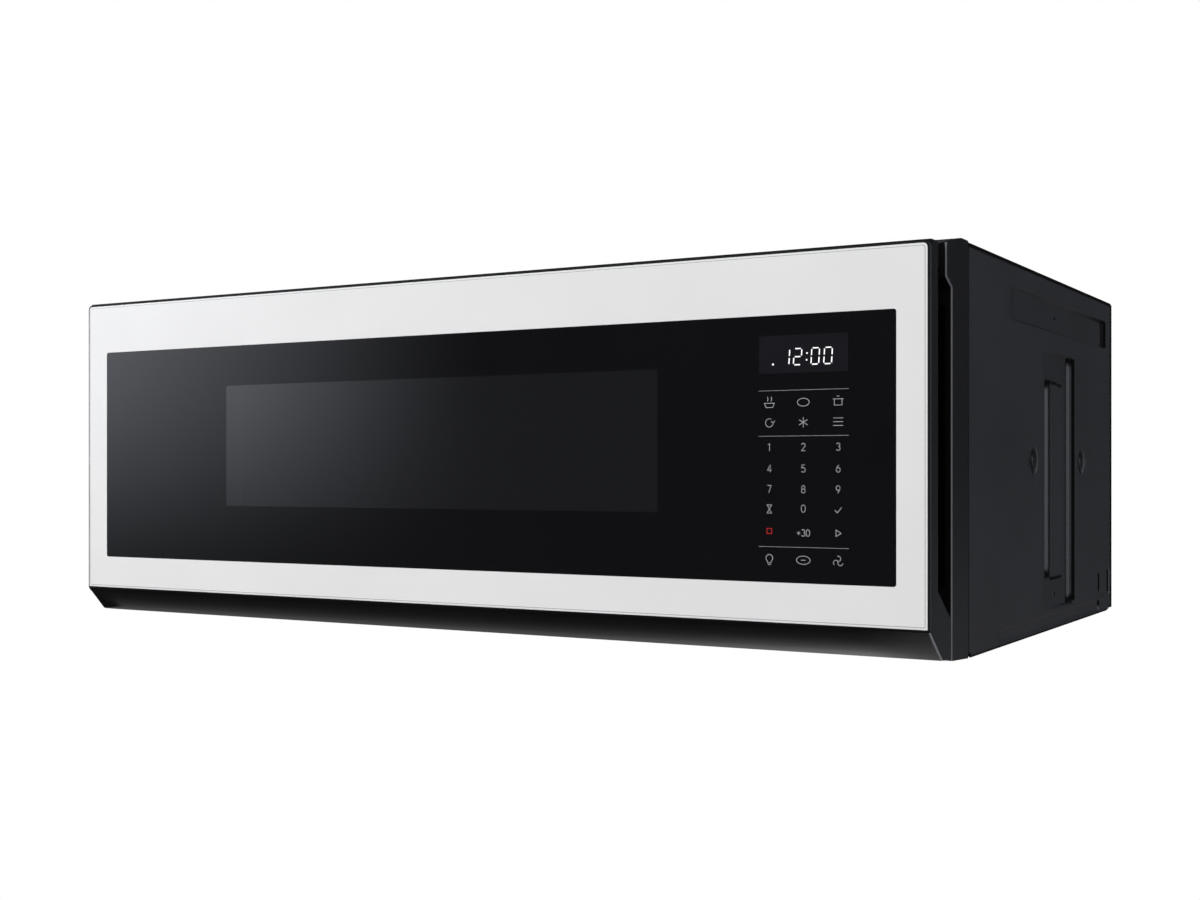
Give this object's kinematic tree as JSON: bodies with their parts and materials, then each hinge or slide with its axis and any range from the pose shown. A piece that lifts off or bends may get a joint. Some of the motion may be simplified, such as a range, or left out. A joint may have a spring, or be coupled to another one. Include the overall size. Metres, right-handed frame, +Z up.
{
  "type": "over the range microwave",
  "caption": "Low over-the-range microwave with a full-width white-bordered glass door hinged at the left, finger pocket, turntable oven, and a vented hood base.",
  "frame": {"origin": "middle of the base, at the bottom of the overall box", "axes": "+X to the right as one faces the front, -Y out of the front, +Z up"},
  "size_m": [0.759, 0.524, 0.281],
  "materials": {
    "white_glass": "white back-painted glass with a polished edge",
    "black_plastic": "black moulded plastic, satin",
    "dark_window": "dark inner window",
    "black_steel": "black powder-coated sheet steel, fine texture",
    "grey_enamel": "grey oven enamel",
    "zinc_steel": "galvanised sheet steel",
    "screws": "blackened steel screws",
    "motor_steel": "plain steel and lamination",
    "aluminium": "aluminium frame and mesh",
    "board": "circuit board and parts",
    "white_plastic": "white moulded plastic",
    "display": "dark display block with white digits",
    "clear_glass": "clear glass",
    "mica": "mica sheet",
    "charcoal": "charcoal pad in a card frame",
    "black_rubber": "rubber bush"
  },
  "bodies": {
    "case": {"front_frame": "black_plastic", "vent_grille": "black_plastic", "cavity": "grey_enamel", "waveguide_cover": "mica", "waveguide": "zinc_steel", "magnetron": "motor_steel", "high_voltage_transformer": "motor_steel", "high_voltage_capacitor": "aluminium", "high_voltage_diode": "board", "board_holder": "white_plastic", "relay_board": "board", "cavity_lamp": "white_plastic", "thermostats": "white_plastic", "latch_body": "white_plastic", "interlock_switches": "white_plastic", "turntable_motor": "motor_steel", "cooling_fan_housing": "white_plastic", "cooling_fan_motor": "motor_steel", "blower_housing": "zinc_steel", "blower_motor": "motor_steel", "exhaust_collar": "zinc_steel", "vent_duct": "zinc_steel", "charcoal_filter": "charcoal", "base_panel": "black_steel", "lamp_lenses": "clear_glass", "lamp_boards": "board", "outer_case": "black_steel", "mounting_nuts": "zinc_steel", "cord_gland": "black_rubber", "rear_panel": "zinc_steel", "wall_plate": "zinc_steel", "case_screws": "screws", "upper_hinge_bracket": "black_steel", "lower_hinge_bracket": "black_steel"},
    "door": {"door_glass": "white_glass", "door_bezel": "black_plastic", "door_housing": "black_plastic", "door_frame": "zinc_steel", "choke_cover": "black_plastic", "inner_window": "dark_window", "touch_board": "board", "display_module": "display", "hinge_bushes": "black_plastic", "door_screws": "screws", "latch_guide": "black_plastic", "latch_spring": "motor_steel"},
    "latch": {"latch_lever": "white_plastic"},
    "coupler": {"turntable_coupler": "white_plastic"},
    "tray": {"glass_tray": "clear_glass"},
    "roller_ring": {"roller_ring": "white_plastic"},
    "roller_1": {"roller_1": "white_plastic"},
    "roller_2": {"roller_2": "white_plastic"},
    "roller_3": {"roller_3": "white_plastic"},
    "cooling_fan": {"cooling_fan_blade": "white_plastic"},
    "blower": {"blower_wheel_left": "white_plastic", "blower_wheel_right": "white_plastic", "blower_shaft": "motor_steel"},
    "damper": {"damper_flap": "zinc_steel"},
    "filter_left": {"grease_filter_left": "aluminium"},
    "filter_right": {"grease_filter_right": "aluminium"}
  },
  "joints": [
    {"name": "door_hinge", "type": "hinge", "parent": "case", "child": "door", "pos_m": [-0.3705, -0.226, 0.1275], "axis": [0, 0, -1], "range_deg": [0, 105]},
    {"name": "latch_slide", "type": "slide", "parent": "door", "child": "latch", "axis": [0, 0, 1], "range_m": [0, 0.003], "stiffness_N_per_m": 300, "springref_m": -0.003, "deforming": ["latch_spring"]},
    {"name": "turntable_spin", "type": "hinge", "parent": "case", "child": "coupler", "pos_m": [-0.015, -0.0485, 0.06], "axis": [0, 0, 1], "continuous": true},
    {"name": "tray_lift", "type": "slide", "parent": "coupler", "child": "tray", "axis": [0, 0, 1], "range_m": [0, 0.06]},
    {"name": "roller_ring_spin", "type": "hinge", "parent": "case", "child": "roller_ring", "pos_m": [-0.015, -0.0485, 0.0683], "axis": [0, 0, 1], "continuous": true},
    {"name": "roller_1_spin", "type": "hinge", "parent": "roller_ring", "child": "roller_1", "pos_m": [0.103, -0.0485, 0.0683], "axis": [1, 0, 0], "continuous": true},
    {"name": "roller_2_spin", "type": "hinge", "parent": "roller_ring", "child": "roller_2", "pos_m": [-0.074, 0.05369, 0.0683], "axis": [-0.5, 0.866, 0], "continuous": true},
    {"name": "roller_3_spin", "type": "hinge", "parent": "roller_ring", "child": "roller_3", "pos_m": [-0.074, -0.15069, 0.0683], "axis": [-0.5, -0.866, 0], "continuous": true},
    {"name": "cooling_fan_spin", "type": "hinge", "parent": "case", "child": "cooling_fan", "pos_m": [0.30975, 0.176, 0.15], "axis": [0, 1, 0], "continuous": true},
    {"name": "blower_spin", "type": "hinge", "parent": "case", "child": "blower", "pos_m": [0, 0.188, 0.196], "axis": [1, 0, 0], "continuous": true},
    {"name": "damper_swing", "type": "hinge", "parent": "case", "child": "damper", "pos_m": [0, 0.2265, 0.273], "axis": [-1, 0, 0], "range_deg": [0, 80]},
    {"name": "grease_filter_left_drop", "type": "slide", "parent": "case", "child": "filter_left", "axis": [0, 0, -1], "range_m": [0, 0.03]},
    {"name": "grease_filter_right_drop", "type": "slide", "parent": "case", "child": "filter_right", "axis": [0, 0, -1], "range_m": [0, 0.03]}
  ],
  "couplings": [
    {"joint": "roller_ring_spin", "follows": "turntable_spin", "ratio": 0.5},
    {"joint": "roller_1_spin", "follows": "turntable_spin", "ratio": -7.375},
    {"joint": "roller_2_spin", "follows": "turntable_spin", "ratio": -7.375},
    {"joint": "roller_3_spin", "follows": "turntable_spin", "ratio": -7.375}
  ]
}
